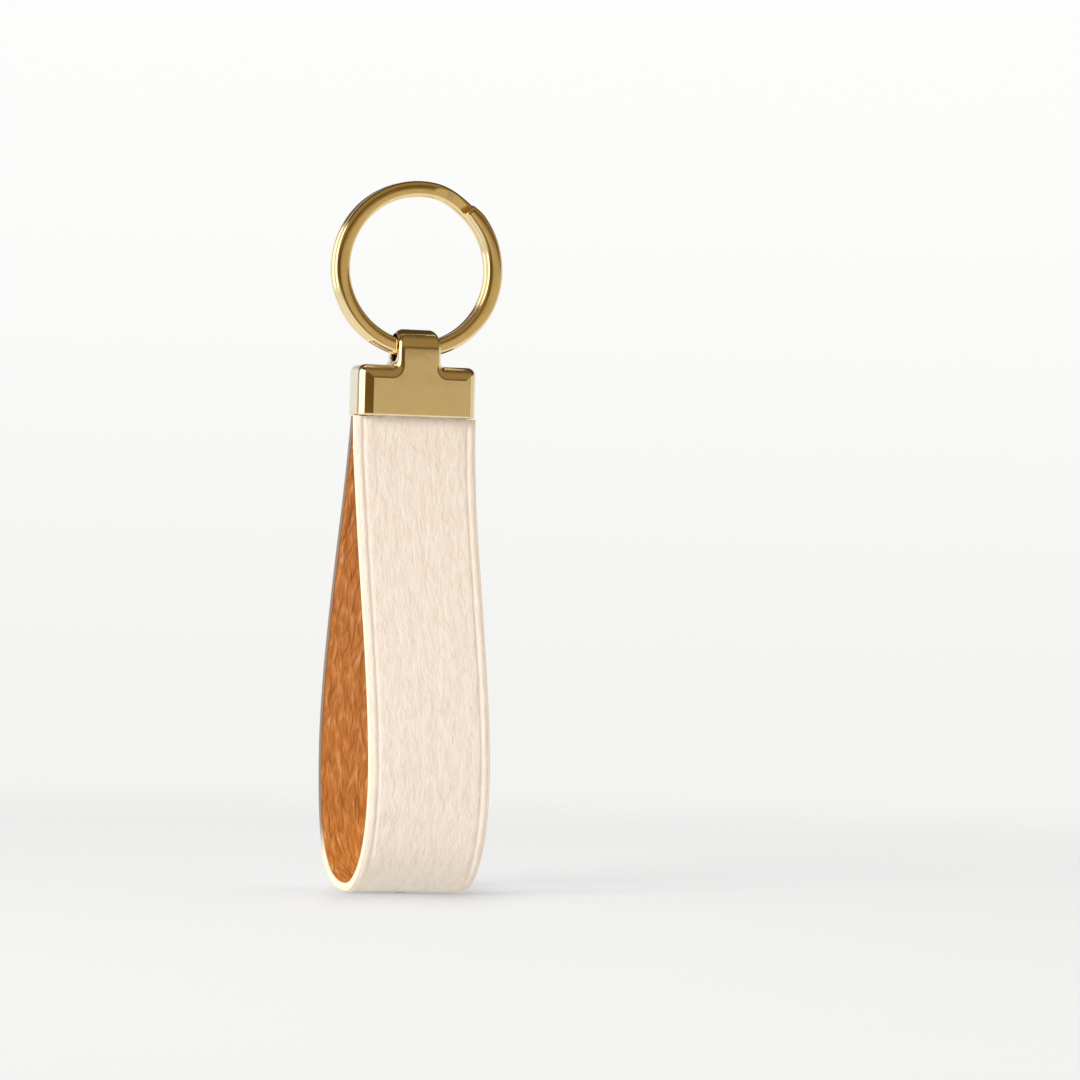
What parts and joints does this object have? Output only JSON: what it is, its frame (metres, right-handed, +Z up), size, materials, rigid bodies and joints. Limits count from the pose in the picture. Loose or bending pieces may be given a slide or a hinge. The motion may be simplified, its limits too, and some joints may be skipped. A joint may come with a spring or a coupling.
{
  "type": "leather keyring",
  "caption": "Leather loop keyring: a folded strap with painted edges, held in a rounded metal clamp that swings on a flat-wire split ring.",
  "frame": {"origin": "inside surface of the split ring at its top, where a hook or a finger carries the keyring", "axes": "+Z up along the hanging strap, +X to the right across the strap, -Y out of the clamp's plain front face"},
  "size_m": [0.0276, 0.0283, 0.1114],
  "materials": {
    "ring_gold": "polished, pale gold plated",
    "clamp_gold": "polished, pale gold plated",
    "screw_gold": "satin, pale gold plated",
    "cream_leather": "satin, fine printed grain",
    "tan_lining": "matte, natural grain",
    "edge_paint": "glossy painted edge"
  },
  "bodies": {
    "ring": {"split_ring": "ring_gold"},
    "fob": {"clamp_body": "clamp_gold", "clamp_screw_left": "screw_gold", "clamp_screw_right": "screw_gold", "strap_outer": "cream_leather", "strap_lining": "tan_lining", "edge_paint_left": "edge_paint", "edge_paint_right": "edge_paint"}
  },
  "joints": [
    {"name": "ring_swing", "type": "hinge", "parent": "ring", "child": "fob", "pos_m": [0, 0, -0.02362], "axis": [1, 0, 0], "range_deg": [-110, 110]}
  ]
}
